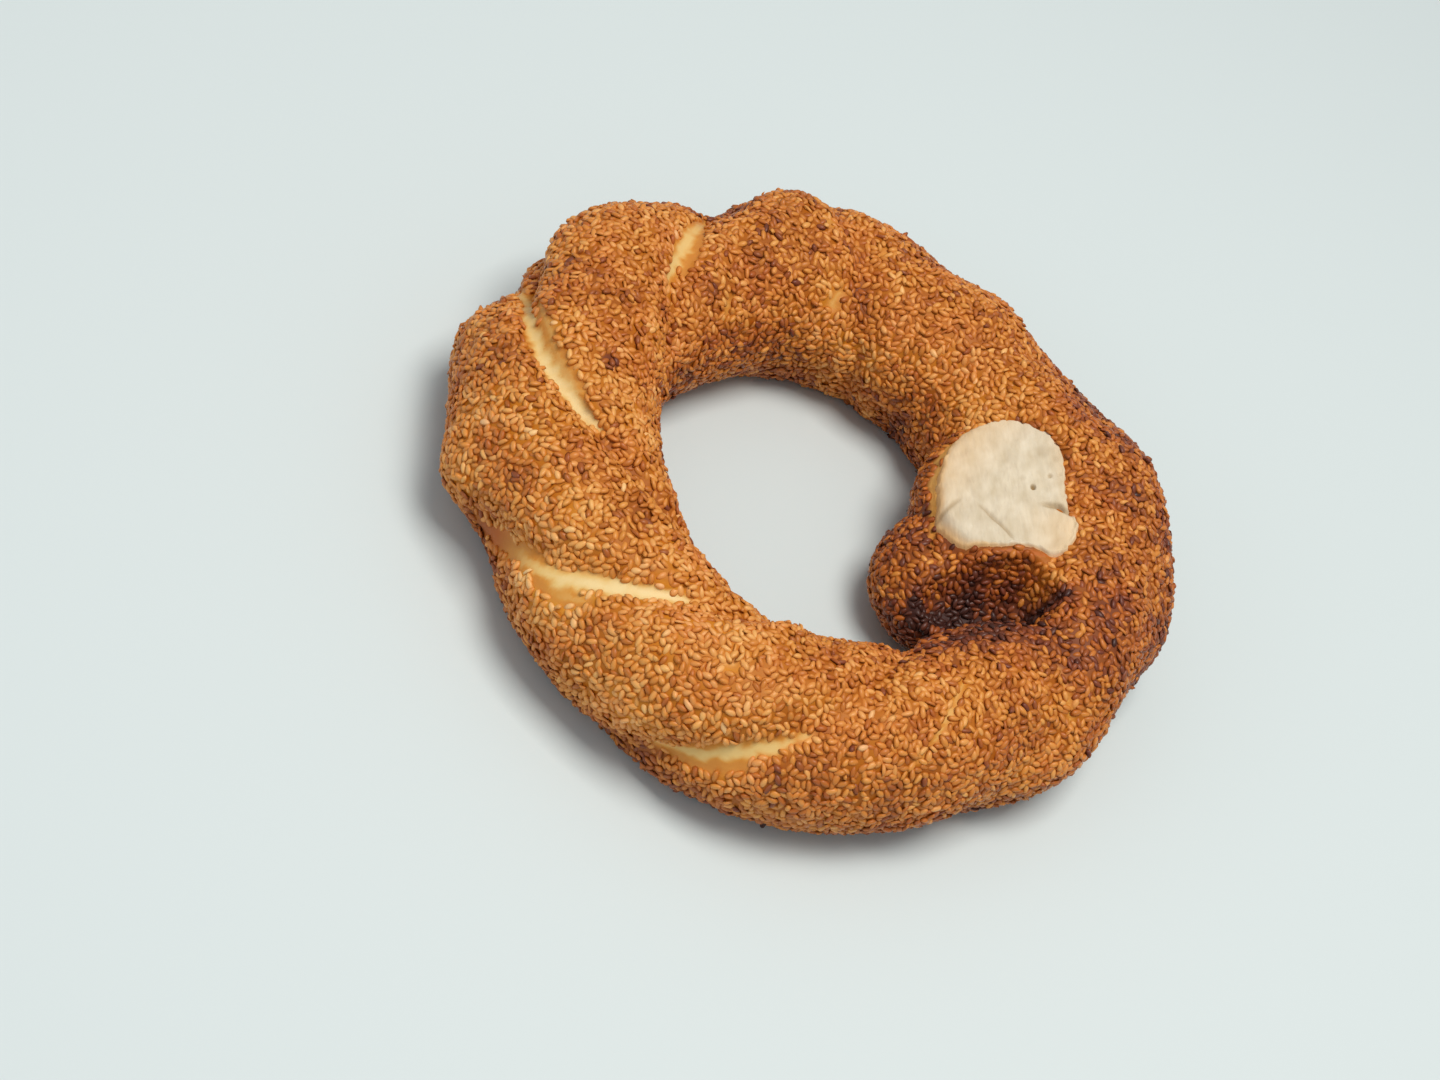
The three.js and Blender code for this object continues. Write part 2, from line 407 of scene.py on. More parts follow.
# where the crust split along a furrow and shows smooth dough
cracks = {
    # the path of each as ring angle, tube angle, half width in millimetres and how brown it is, where 0 is
    # cream; a later one lies over an earlier one
    "paths": [
        [
            (187, 57, 1.0, 0.48), (194, 67.5, 2.0, 0.44), (199, 73.5, 2.3, 0.42), (203.5, 81.5, 2.0, 0.44),
            (207, 90, 1.0, 0.5),
        ],
        [
            (177.5, 12, 1.3, 0.5), (179.5, 21, 1.9, 0.38), (182, 33, 2.2, 0.3), (189, 51, 2.2, 0.24),
            (195, 60, 2.3, 0.18), (200.5, 68.5, 2.4, 0.08), (206, 80, 2.4, 0), (211, 90, 1.8, 0.03),
            (216, 101, 0.8, 0.15),
        ],
        [(236, 20, 1.1, 0.5), (239, 24, 2.3, 0.5), (243, 33, 2.5, 0.48), (246, 41, 1.2, 0.5)],
        [(240, 42, 1.2, 0.5), (244, 56, 1.8, 0.48), (248, 68, 1.0, 0.5)],
        [
            # its browner outer end, up to 0.95, is painted shadow under the overhanging lobe
            (220.5, -21, 1.2, 0.95), (222.5, -13, 2.0, 0.9), (225.5, -6, 2.5, 0.78), (231, 10, 2.7, 0.5),
            (236, 24, 2.6, 0.3), (240, 35, 2.6, 0.12), (244.5, 52, 2.5, 0), (250.5, 74, 2.2, 0),
            (255, 90, 1.4, 0.08), (259, 101, 0.6, 0.25),
        ],
        [(271, -3, 1.2, 0.55), (275.5, 9, 2.0, 0.52), (280, 19, 1.3, 0.55)],
        [
            (267, -4, 1.0, 0.45), (270.5, 4, 1.8, 0.36), (273.5, 10, 2.4, 0.3), (277.5, 24, 2.5, 0.27),
            (282.5, 39, 2.2, 0.27), (287.5, 55, 0.9, 0.4),
        ],
        [(306, 45, 0.6, 0.5), (312.5, 71, 1.15, 0.4), (319, 94, 0.6, 0.48)],
        [(143, 72, 1.0, 0.5), (147, 84, 1.8, 0.46), (152, 96, 2.0, 0.46), (157, 107, 1.1, 0.5)],
        [
            (138.5, 46, 0.9, 0.55), (142, 61, 1.5, 0.42), (146.5, 75, 2.1, 0.32), (151.5, 87, 2.6, 0.25),
            (157.5, 99, 2.3, 0.25), (162.5, 108, 1.6, 0.32), (167, 117, 0.7, 0.45),
        ],
        # small golden patches with hardly any seeds
        [(113, 128, 1.6, 0.45), (114, 136, 2.0, 0.45)],
        [(116.5, 75, 1.6, 0.55), (117, 80, 1.6, 0.55)],
        [(148, 134, 1.6, 0.5), (149, 139, 1.2, 0.5)],
        [(104, 86, 1.1, 0.55), (105, 91, 1.1, 0.55)],
        [(269, 70, 0.9, 0.48), (271, 74, 1.1, 0.48)],
        [(338, 32, 0.5, 0.5), (340, 55, 0.8, 0.5), (342, 80, 0.5, 0.5)],
    ],
    "ragged": 0.44,  # how far the edge strays, as a share of the half width
    "edge": 0.42,  # how much browner it is at its edge
    "rim": 0.62,  # how brown the crust is round it
    "paler": 0.45,  # how much paler the seeds beside it are, in parts of heat
    "depth": 0.45,
}


def nearPath(points, middle, widths, others):
    # the distance to a line as a share of its half width there, and its other values there
    share = np.full(len(points), 9.0)
    values = np.zeros(len(points))
    near = np.where(np.linalg.norm(points - middle.mean(axis=0), axis=1) < 60)[0]
    away = np.linalg.norm(points[near, None, :] - middle[None], axis=2) / widths
    share[near] = away.min(axis=1)
    values[near] = others[away.argmin(axis=1)]
    return share, values


def alongPath(path, count):
    # every column of a path, spread over more steps
    path = np.array(path, float)
    steps = np.linspace(0, len(path) - 1, count)
    return [np.interp(steps, range(len(path)), column) for column in path.T]


# the crust round the tear
tearEdge = {
    # smooth places beside and below the crumb: across and along the tear's plane, half width, how brown
    "smooth": [
        [
            (-12.5, 33, 0.7, 0.46), (-15.8, 27, 1.1, 0.44), (-17.5, 20, 1.2, 0.44), (-18.1, 12, 1.0, 0.5),
            (-19.1, 5, 0.8, 0.65), (-19.1, -1, 0.5, 0.85),
        ],
        [(-13, 0, 0.3, 0.9), (-4, -0.3, 0.5, 0.8), (4.6, -0.7, 0.5, 0.78), (11.5, 0, 0.4, 0.8)],
    ],
    "bareWall": (50.4, 1.9, 27.0),  # middle of the seedless part of the wall under the crumb
    "bareWallSizes": (7.8, 5, 7.4),
    "wallBareness": 0.57,
    "wallRoughness": 0.34,
    "overlap": 0.8,  # how far the seeds reach over the upper and right edges
    "lip": 0.3,  # how far the crust stands above the crumb at its edge
    "rise": 0.45,  # how steeply it climbs away from there
    "sunk": 1.3,  # how far it is lowered under the crumb
}


def troughShadeAndHeat(points):
    # a nearly black painted shadow along the trough's bottom, browning and painted shade on the wall, paler
    # at its end
    inside, along, across = inTrough(points)
    atEnds, inMiddle = trough["bottomHalfWidth"]
    middle = ramp(along, -15, -9) * (1 - ramp(along, 1, 6))
    fromBottom = (across - trough["bottomPlace"]) / (atEnds + (inMiddle - atEnds) * middle)
    belowTop = 1 - (1 - trough["topShare"]) * ramp(across, 6, 9)
    heatAndShade = trough["bottomShadow"] * np.exp(-(fromBottom**2))
    heatAndShade = heatAndShade + trough["wallShadeAndHeat"] * ramp(along, -14, -9) * (1 - ramp(along, -7, 0)) * belowTop
    heatAndShade = heatAndShade + trough["endHeat"] * ramp(along, 1, 6)
    return ramp(inside, -3.5, -0.4) * heatAndShade


def crackMasks(points, ragged):
    bare = np.zeros(len(points))
    tone = np.full(len(points), cracks["rim"])
    heatAndShade = np.zeros(len(points))
    for path in cracks["paths"]:
        ringAngle, tubeAngle, halfWidth, brown = alongPath(path, 90)
        share, brown = nearPath(points, ropePoints(ringAngle, tubeAngle), halfWidth, brown)
        browner = brown + cracks["edge"] * ramp(share + ragged, 0.1, 1.1)
        mine = np.minimum(browner, np.maximum(brown, cracks["rim"]))
        tone = tone + (mine - tone) * (1 - ramp(share + ragged, 1.0, 1.7))
        bare = np.maximum(bare, 1 - ramp(share + ragged, 0.6, 1.35))
        heatAndShade = np.minimum(heatAndShade, cracks["paler"] * ramp(share, 1.0, 2.4) - cracks["paler"])
    return bare, tone, heatAndShade


def crustMasks(points):
    # bare is smooth dough and tone how brown it is; seedless also takes in the crumb's place and the wall;
    # heat and painted shade say how much browner the crust is coloured: painted shadow in the trough and on
    # the flank, and paler beside the cracks
    ragged = cracks["ragged"] * (lumps(points, 1.6) + 0.5 * lumps(points, 4.0, 7.0))
    bare, tone, heatAndShade = crackMasks(points, ragged)
    across, along, above = onTear(points)
    flat = np.stack([across, along, 0 * across], axis=1)
    near = (above > -13) & (above < 7)
    for path in tearEdge["smooth"]:
        u, v, halfWidth, brown = alongPath(path, 60)
        share, brown = nearPath(flat, np.stack([u, v, 0 * u], axis=1), halfWidth, brown)
        strength = np.where(near, 1 - ramp(share + 1.6 * ragged, 0.5, 1.3), 0)
        tone = tone + (brown - tone) * np.where(near, 1 - ramp(share + ragged, 0.9, 1.6), 0)
        bare = np.maximum(bare, strength)
    way, limit = polarLimit(crumb["outline"], across, along)
    overlap = tearEdge["overlap"] * ramp(along + 0.5 * across, 2, 8)
    torn = (way < limit - overlap + 0.3) & (above > -4) & (above < 9)
    heatAndShade = heatAndShade + troughShadeAndHeat(points)
    fromFlank = np.linalg.norm((points - inFrame(flank["centre"])) / flank["halfSizes"], axis=1)
    # painted shadow over the flank
    heatAndShade = heatAndShade + flank["browner"] * (1 - ramp(fromFlank, 1.0, 1.3))
    fromBare = (points - inFrame(tearEdge["bareWall"])) @ troughTurn() / tearEdge["bareWallSizes"]
    reach = (fromBare**4).sum(axis=1) ** 0.25
    bareWall = 1 - ramp(reach + ragged, 0.8, 1.2)
    seedless = np.maximum.reduce([bare, torn.astype(float), tearEdge["wallBareness"] * bareWall])
    return bare, tone, heatAndShade, seedless, bareWall


def seatTear(points):
    # lowers the crust under the torn crumb and lets it climb gently away from the crumb's edge
    across, along, above = onTear(points)
    way, limit = polarLimit(crumb["outline"], across, along)
    outside = way - limit
    near = (above > -8) & (above < 12) & (outside < 14)
    cap = crumb["level"] + tearEdge["lip"] + tearEdge["rise"] * np.maximum(outside, 0)
    lowered = softLower(above, cap, 0.8) - tearEdge["sunk"] * ramp(-outside, 0.2, 1.0)
    change = np.where(near, np.minimum(lowered - above, 0), 0)
    return points + change[:, None] * tearAxes()[2]


def makeCrust():
    piece = makeRope()
    cutOrJoin(piece, makeLump(knob), "UNION")
    cutOrJoin(piece, makeLump(flank), "UNION")
    cutOrJoin(piece, makeTornPiece(), "DIFFERENCE")
    cutOrJoin(piece, makeTrough(), "DIFFERENCE")
    remesh = piece.modifiers.new("Even faces", "REMESH")
    remesh.mode = "VOXEL"
    remesh.voxel_size = rope["faceSize"] * mm
    smooth = piece.modifiers.new("Soften", "SMOOTH")
    smooth.factor = 0.5
    smooth.iterations = rope["smoothings"]
    finishModifiers(piece)

    writePoints(piece, seatTear(readPoints(piece)))
    points = readPoints(piece)
    normals = readNormals(piece)
    bare, tone, heatAndShade, seedless, wall = crustMasks(points)
    broad, fine = rope["wobble"]
    wobble = broad * lumps(points, 9) + fine * lumps(points, 3.5, 5.0)
    aboveTable = ramp(points[:, 2], 0.3, 3)
    rough = tearEdge["wallRoughness"] * wall * (lumps(points, 1.3) + 0.7 * lumps(points, 2.6, 3.0))
    shift = wobble * aboveTable * (1 - bare) - cracks["depth"] * bare + rough
    points = points + normals * shift[:, None]
    points[:, 2] = np.maximum(points[:, 2], rope["onSeeds"])
    writePoints(piece, points)
    writeMask(piece, "bare", bare)
    writeMask(piece, "tone", tone)
    writeMask(piece, "toast", np.clip(toastAndShadeField(points, heatAndShade), 0, 1))
    startNew()
    piece.select_set(True)
    bpy.ops.object.shade_smooth()
    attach(piece, "root")
    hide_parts("bread_ring")
    print("crust", len(piece.data.vertices), "points")
    return piece, seedless, heatAndShade


crumb = {
    # on the tear's plane, across and along, anticlockwise
    "outline": [
        (13, 28.5), (11, 33.5), (7.5, 36.3), (4, 38), (-1, 38.3), (-8, 36), (-13, 31.5), (-15.6, 25.5),
        (-17.4, 19.5), (-17.8, 13), (-18.5, 8.5), (-16, 4.5), (-13, 1.2), (-10, 0.6), (-4.5, 0.3), (0, 0.7),
        (4.6, 0), (8, -0.6), (11.5, 0.8), (14, 4.5), (14.9, 9), (13.2, 11.5), (12.8, 17), (13.4, 23),
    ],
    "rings": 60,
    "spokes": 300,
    "level": 0.3,  # of the middle, above the tear's plane
    "rim": 0.9,  # how far the rim turns down
    "rimWidth": 0.9,
    "ragged": 0.35,  # how far its edge strays from the outline
    "thickness": 1.2,
    "warmth": 0.5,  # how toasted its top left, its right end and the lobe below it are
    "lobeWarmth": 0.75,  # of the lobe, as a share of that
    # fibres as height, width, length and a shift of the noise
    "fibres": [(0.13, 0.95, 5.5, 0), (0.07, 0.5, 2.4, 3)],
    "lumps": [(0.7, 5.5), (0.28, 2.2)],  # height and size
    # the fold between the lobe at the lower left and the rest: a place on it, and the way out to the lobe
    "fold": ((-8.2, 12.6), (0.82, 0.57)),
    "foldHeight": 0.7,
    # pits as across, along, radius and depth
    "pits": [
        (4.9, 17.6, 0.6, 1.0), (9.3, 21.2, 0.5, 0.5), (8.4, 28.4, 1.5, 0.25), (2.8, 20.2, 0.7, 0.14),
        (-9.5, 19.8, 0.8, 0.1), (11.2, 26.2, 0.8, 0.2), (10.5, 11.7, 0.9, 0.7), (11.8, 21.5, 0.5, 0.3),
    ],
    # grooves as half width, depth and path
    "grooves": [
        (0.5, 0.9, [(-8.2, 12.6), (-6.9, 10.8), (-4.9, 7.9), (-2.4, 4.6), (-0.8, 1.8)]),
        (0.8, 1.7, [(6.0, 12.6), (9.4, 12.2), (12.0, 11.0), (15.5, 10.5)]),
        (0.55, 0.8, [(-18.5, 9.0), (-15.4, 11.5), (-12.0, 14.5)]),
    ],
}


def polarOutline(corners):
    # an outline as its middle, and its radius for each bearing
    loop = smoothLoop(corners, 6)
    centre = loop.mean(axis=0)
    bearing = np.arctan2(loop[:, 1] - centre[1], loop[:, 0] - centre[0])
    order = np.argsort(bearing)
    return centre, bearing[order], np.linalg.norm(loop - centre, axis=1)[order]


def polarLimit(corners, across, along):
    # the way from an outline's middle to each place, and to its edge in that direction
    centre, bearing, radius = polarOutline(corners)
    dx, dy = across - centre[0], along - centre[1]
    return np.hypot(dx, dy), np.interp(np.arctan2(dy, dx), bearing, radius, period=2 * np.pi)


def crumbHeight(across, along):
    flat = np.stack([across, along], axis=1)
    height = np.zeros(len(across))
    for rise, width, length, shift in crumb["fibres"]:
        height += rise * lumps(np.stack([across / width, along / length, 0 * along + shift], axis=1), 1)
    for rise, size in crumb["lumps"]:
        height += rise * lumps(np.stack([across, along, 0 * along], axis=1), size)
    # painted shade in the pits and grooves
    pit = np.zeros(len(across))
    for u, v, radius, depth in crumb["pits"]:
        away = np.hypot(across - u, (along - v) * 0.8) / radius
        hole = np.exp(-(away**4))
        height -= depth * hole
        pit = np.maximum(pit, hole * min(1, depth))
    for halfWidth, depth, path in crumb["grooves"]:
        line = np.stack(alongPath(path, 40), axis=1)
        away = np.linalg.norm(flat[:, None] - line[None], axis=2)
        taper = np.sin(np.pi * (away.argmin(axis=1) + 0.5) / len(line)) ** 0.5
        cut = np.exp(-((away.min(axis=1) / halfWidth) ** 2)) * taper
        height -= depth * cut
        pit = np.maximum(pit, 0.7 * cut * min(1, depth))
    (foldAcross, foldAlong), (outAcross, outAlong) = crumb["fold"]
    foldSide = (foldAcross - across) * outAcross + (foldAlong - along) * outAlong
    height += crumb["foldHeight"] * ramp(foldSide, -0.6, 0.5) * (1 - ramp(foldSide, 1, 9))
    return height, pit


def makeCrumb(crust):
    startNew()
    bpy.ops.mesh.primitive_grid_add(x_subdivisions=crumb["rings"], y_subdivisions=crumb["spokes"], size=2)
    piece = bpy.context.object
    piece.name = "tornCrumb"
    points = readPoints(piece) * mm  # from -1 to 1 both ways
    share = (points[:, 0] + 1) / 2
    turn = np.pi * (points[:, 1] + 1)
    centre, bearing, radius = polarOutline(crumb["outline"])
    limit = np.interp(turn, bearing, radius, period=2 * np.pi)
    roundEdge = np.stack([np.cos(turn) * 9, np.sin(turn) * 9, 0 * turn], axis=1)
    limit = limit + crumb["ragged"] * lumps(roundEdge, 1)
    across = centre[0] + share * limit * np.cos(turn)
    along = centre[1] + share * limit * np.sin(turn)
    axes = tearAxes()
    base = inFrame(tear["point"]) + across[:, None] * axes[0] + along[:, None] * axes[1]
    tree = crustTree(crust)
    ground = np.full(len(base), -1.5)
    for i, place in enumerate(base):
        hit, _, _, distance = tree.ray_cast(Vector(place + 20 * axes[2]), Vector(-axes[2]), 30)
        if hit:
            ground[i] = 20 - distance
    relief, pit = crumbHeight(across, along)
    toEdge = (1 - share) * limit
    crustLevel = ground + tearEdge["sunk"] * ramp(toEdge, 0.2, 1.0)
    height = softLower(crumb["level"] + relief, crustLevel + 0.3 + 0.4 * relief, 0.5)
    height = height - crumb["rim"] * np.maximum(1 - toEdge / crumb["rimWidth"], 0) ** 2
    writePoints(piece, base + height[:, None] * axes[2])
    writeMask(piece, "pit", pit)
    left = ramp(-across, 2, 16)
    warmTop = ramp(0.5 * (along - 20) - 0.7 * across, 1, 16)
    warmLobe = crumb["lobeWarmth"] * ramp(across, -2, 13) * (1 - ramp(along, 7, 15))
    warm = crumb["warmth"] * np.maximum.reduce([warmTop, warmLobe, ramp(across, 8, 17)])
    writeMask(piece, "edge", np.maximum(1 - ramp(toEdge, 0.1, 0.9 + 2.6 * left), warm))
    bpy.ops.object.mode_set(mode="EDIT")
    bpy.ops.mesh.select_all(action="SELECT")
    bpy.ops.mesh.remove_doubles(threshold=0.02 * mm)
    bpy.ops.mesh.normals_make_consistent(inside=False)
    bpy.ops.object.mode_set(mode="OBJECT")
    if (readNormals(piece) @ axes[2]).mean() < 0:
        bpy.ops.object.mode_set(mode="EDIT")
        bpy.ops.mesh.flip_normals()
        bpy.ops.object.mode_set(mode="OBJECT")
    shell = piece.modifiers.new("Thickness", "SOLIDIFY")
    shell.thickness = crumb["thickness"] * mm
    shell.offset = -1
    finishModifiers(piece)
    bpy.ops.object.shade_smooth()
    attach(piece, "root")
    print("crumb", len(piece.data.vertices), "points")
    return piece


sesame = {
    "length": 3.05,
    "width": 1.76,
    "thickness": 1.05,
    "taper": 0.28,  # how much narrower its pointed end is
    "levels": (0.5, 0.4, -0.16),  # of its middle, the small ring round it and the rim, in thicknesses
    "upperRing": 0.66,  # size of the small ring
    "upperRingShade": 0.3,  # how much painted shade it gets, as a share of the rim's
    "sizeSpread": (0.08, 0.08, 0.1),  # of length, width and thickness, from seed to seed
    "spacing": (1.1, 1.6),
    "underSpacing": 2.0,
    "candidates": 400000,
    "ragged": 0.22,  # how blurred the edge of a bare place is
    "thinned": 0.36,  # how bare the thinly strewn patches are
    "pushReach": 1.15,  # seeds closer than this share of their spacing are pushed apart
    "push": 0.45,
    "tilt": 17,
    "standing": 0.13,  # the share of seeds that stand up steeply
    "standingTilt": 34,
    "strays": 0.3,  # the share of seeds that lie any way round
    "lift": (-0.36, 0.3),
}


def seedShape():
    # one seed: a drop with a flat base, a broad rim and a smaller ring near the top
    startNew()
    bpy.ops.mesh.primitive_uv_sphere_add(segments=10, ring_count=3, radius=1)
    piece = bpy.context.object
    lowest = min(piece.data.vertices, key=lambda vertex: vertex.co.z).index
    bpy.ops.object.mode_set(mode="EDIT")
    bpy.ops.mesh.select_all(action="DESELECT")
    bpy.ops.object.mode_set(mode="OBJECT")
    piece.data.vertices[lowest].select = True
    bpy.ops.object.mode_set(mode="EDIT")
    bpy.ops.mesh.select_mode(type="VERT")
    bpy.ops.mesh.dissolve_verts()
    bpy.ops.object.mode_set(mode="OBJECT")
    points = readPoints(piece) * mm  # its radius is 1
    faces = [tuple(face.vertices) for face in piece.data.polygons]
    bpy.data.objects.remove(piece)
    turn = np.arctan2(points[:, 1], points[:, 0])
    pole = np.hypot(points[:, 0], points[:, 1]) < 0.1
    upper = points[:, 2] > 0
    size = np.where(pole, 0, np.where(upper, sesame["upperRing"], 1.0))
    drop = 1 - sesame["taper"] * (0.5 + 0.5 * np.cos(turn)) ** 1.5  # the pointed end lies along +X
    middleLevel, ringLevel, rimLevel = sesame["levels"]
    shaped = np.empty_like(points)
    shaped[:, 0] = 0.5 * sesame["length"] * size * np.cos(turn)
    shaped[:, 1] = 0.5 * sesame["width"] * size * np.sin(turn) * drop
    shaped[:, 2] = sesame["thickness"] * np.where(pole, middleLevel, np.where(upper, ringLevel, rimLevel))
    # painted shade: darkest round the rim, less on the small ring, none on top
    rim = np.where(pole, 0, np.where(upper, sesame["upperRingShade"], 1.0))
    triangles = []
    for face in faces:
        triangles += [(face[0], face[i], face[i + 1]) for i in range(1, len(face) - 1)]
    return shaped, np.array(triangles), rim


def surfaceSamples(piece, count, rng):
    mesh = piece.data
    mesh.calc_loop_triangles()
    corners = np.empty(len(mesh.loop_triangles) * 3, dtype=np.int64)
    mesh.loop_triangles.foreach_get("vertices", corners)
    corners = corners.reshape(-1, 3)
    points = readPoints(piece)
    a, b, c = (points[corners[:, i]] for i in range(3))
    area = 0.5 * np.linalg.norm(np.cross(b - a, c - a), axis=1)
    chosen = rng.choice(len(corners), size=count, p=area / area.sum())
    u = np.sqrt(rng.random(count))
    v = rng.random(count)
    share = np.stack([1 - u, u * (1 - v), u * v], axis=1)
    corners = corners[chosen]
    place = (points[corners] * share[:, :, None]).sum(axis=1)
    return place, corners, share, area.sum()


def throwDarts(places, spacing):
    # keeps each place that is far enough from all those kept before it
    taken = {}
    kept = []
    cells = np.floor(places / spacing.max()).astype(int)
    around = [(i, j, k) for i in (-1, 0, 1) for j in (-1, 0, 1) for k in (-1, 0, 1)]
    for index, ((x, y, z), (cx, cy, cz), reach) in enumerate(
        zip(places.tolist(), cells.tolist(), (spacing**2).tolist())
    ):
        tooClose = any(
            (px - x) ** 2 + (py - y) ** 2 + (pz - z) ** 2 < reach
            for i, j, k in around
            for px, py, pz in taken.get((cx + i, cy + j, cz + k), ())
        )
        if not tooClose:
            taken.setdefault((cx, cy, cz), []).append((x, y, z))
            kept.append(index)
    return np.array(kept)


def neighboursOf(places, count):
    tree = KDTree(len(places))
    for i, place in enumerate(places):
        tree.insert(place, i)
    tree.balance()
    return np.array([[found[1] for found in tree.find_n(place, count + 1)[1:]] for place in places])


def snapToCrust(tree, places):
    points = np.empty_like(places)
    for i, place in enumerate(places):
        points[i] = tree.find_nearest(place)[0]
    return points


def settleDirections(places, normals, near, rng):
    # each seed turns to the direction in which it overlaps its neighbours least
    tangent = unit(np.cross(normals, rng.normal(size=normals.shape)))
    side = np.cross(normals, tangent)
    angle = rng.random(len(places)) * np.pi
    offset = places[near] - places[:, None, :]
    away = np.linalg.norm(offset, axis=2)
    bearing = np.arctan2((offset * side[:, None]).sum(axis=2), (offset * tangent[:, None]).sum(axis=2))
    longHalf, shortHalf = sesame["length"] / 2, sesame["width"] / 2

    def reach(turn):
        return 1 / np.sqrt((np.cos(turn) / longHalf) ** 2 + (np.sin(turn) / shortHalf) ** 2)

    def direction():
        return tangent * np.cos(angle)[:, None] + side * np.sin(angle)[:, None]

    for step in range(6):
        theirs = direction()[near]
        theirCos = (theirs * offset).sum(axis=2) / away
        theirReach = reach(np.arccos(np.clip(theirCos, -1, 1)))
        trial = angle[:, None] + np.linspace(0, np.pi, 9, endpoint=False)[None]
        overlap = reach(bearing[:, None, :] - trial[:, :, None]) + theirReach[:, None, :] - away[:, None, :]
        cost = (np.maximum(overlap, 0) ** 2).sum(axis=2)
        best = trial[np.arange(len(angle)), cost.argmin(axis=1)]
        turning = rng.random(len(angle)) < 0.6
        angle = np.where(turning, best, angle)
    stray = rng.random(len(angle)) < sesame["strays"]
    angle = np.where(stray, rng.random(len(angle)) * np.pi, angle)
    return direction()


def crustTree(crust):
    points = [vertex.co / mm for vertex in crust.data.vertices]
    return BVHTree.FromPolygons(points, [tuple(face.vertices) for face in crust.data.polygons])


def placeSeeds(crust, seedless, rng):
    vertexNormals = readNormals(crust)
    places, corners, share, area = surfaceSamples(crust, sesame["candidates"], rng)
    bareness = (seedless[corners] * share).sum(axis=1)
    thinned = sesame["thinned"] * ramp(lumps(places, 5, 9.0), 0.2, 0.6)
    places = places[bareness + thinned + sesame["ragged"] * rng.normal(size=len(places)) < 0.5]
    under = 1 - ramp(places[:, 2], 0.4, 3)
    spacing = rng.uniform(*sesame["spacing"], len(places))
    spacing = spacing + (sesame["underSpacing"] - spacing) * under
    kept = throwDarts(places, spacing)
    places, spacing = places[kept], spacing[kept]
    print("seeds", len(places), "on", round(area), "mm2")
    offset = places[:, None, :] - places[neighboursOf(places, 6)]
    away = np.linalg.norm(offset, axis=2, keepdims=True)
    push = np.maximum(spacing[:, None, None] * sesame["pushReach"] - away, 0) * offset / away
    places = snapToCrust(crustTree(crust), places + sesame["push"] * push.sum(axis=1))
    nearest = KDTree(len(crust.data.vertices))
    for corner in crust.data.vertices:
        nearest.insert(corner.co / mm, corner.index)
    nearest.balance()
    vertex = np.array([nearest.find(place)[1] for place in places])
    keep = seedless[vertex] < 0.6
    places, vertex = places[keep], vertex[keep]
    normals = vertexNormals[vertex]
    direction = settleDirections(places, normals, neighboursOf(places, 7), rng)
    return places, normals, direction, vertex


def makeSeeds(name, shape, places, normals, direction, size, lift, toast, rng):
    points, triangles, rim = shape
    count = len(places)
    standing = rng.random(count) < sesame["standing"]
    jitter = np.radians(np.where(standing, sesame["standingTilt"], sesame["tilt"]))
    up = unit(normals + jitter[:, None] * rng.normal(size=normals.shape))
    forward = unit(direction - (direction * up).sum(axis=1, keepdims=True) * up)
    side = np.cross(up, forward)
    local = points[None] * size[:, None, :]
    placed = (
        places[:, None, :]
        + local[:, :, 0:1] * forward[:, None]
        + local[:, :, 1:2] * side[:, None]
        + (local[:, :, 2:3] + lift[:, None, None]) * up[:, None]
    )
    placed[:, :, 2] = np.maximum(placed[:, :, 2], 0)
    allFaces = (triangles[None] + np.arange(count)[:, None, None] * len(points)).reshape(-1, 3)
    mesh = bpy.data.meshes.new(name)
    mesh.vertices.add(count * len(points))
    mesh.vertices.foreach_set("co", (placed * mm).ravel())
    mesh.loops.add(len(allFaces) * 3)
    mesh.loops.foreach_set("vertex_index", allFaces.ravel())
    mesh.polygons.add(len(allFaces))
    mesh.polygons.foreach_set("loop_start", np.arange(len(allFaces)) * 3)
    mesh.polygons.foreach_set("use_smooth", np.ones(len(allFaces), dtype=bool))
    mesh.update(calc_edges=True)
    piece = bpy.data.objects.new(name, mesh)
    bpy.context.scene.collection.objects.link(piece)
    writeMask(piece, "toast", np.repeat(toast, len(points)))
    # painted shade round each seed's rim
    writeMask(piece, "rim", np.tile(rim, count))
    # each seed has its own small square of the map
    across = math.ceil(math.sqrt(count))
    column, row = np.arange(count) % across, np.arange(count) // across
    flat = points[:, :2] / (sesame["length"] * 1.3) + 0.5
    corner = np.stack([column, row], axis=1)[:, None, :]
    layout = ((corner + flat[None]) / across).reshape(-1, 2)
    uvMap = mesh.uv_layers.new(name="OFBake")
    uvMap.data.foreach_set("uv", layout[allFaces.ravel()].astype(np.float32).ravel())
    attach(piece, "root")
    print(name, count, "seeds,", len(allFaces), "triangles")
    return piece


def linearColour(hexCode):
    parts = [int(hexCode[i : i + 2], 16) / 255 for i in (1, 3, 5)]
    return [p / 12.92 if p <= 0.04045 else ((p + 0.055) / 1.055) ** 2.4 for p in parts] + [1]


def addNode(material, kind, settings=None, links=None):
    # settings holds the node's own properties, values for its sockets by name or number, and the stops of a
    # colour ramp; links joins a socket to an output
    node = material.node_tree.nodes.new(kind)
    for key, value in (settings or {}).items():
        if key == "stops":
            elements = node.color_ramp.elements
            while len(elements) < len(value):
                elements.new(0.5)
            for element, (position, colour) in zip(elements, value):
                element.position = position
                element.color = linearColour(colour)
        elif isinstance(key, int) or key in node.inputs:
            node.inputs[key].default_value = linearColour(value) if isinstance(value, str) else value
        else:
            setattr(node, key, value)
    for key, output in (links or {}).items():
        material.node_tree.links.new(output, node.inputs[key])
    return node


def newMaterial(name, **shader):
    material = bpy.data.materials.new(name)
    material.use_nodes = True
    principled = material.node_tree.nodes["Principled BSDF"]
    for key, value in shader.items():
        principled.inputs[key.replace("_", " ")].default_value = value
    return material, principled


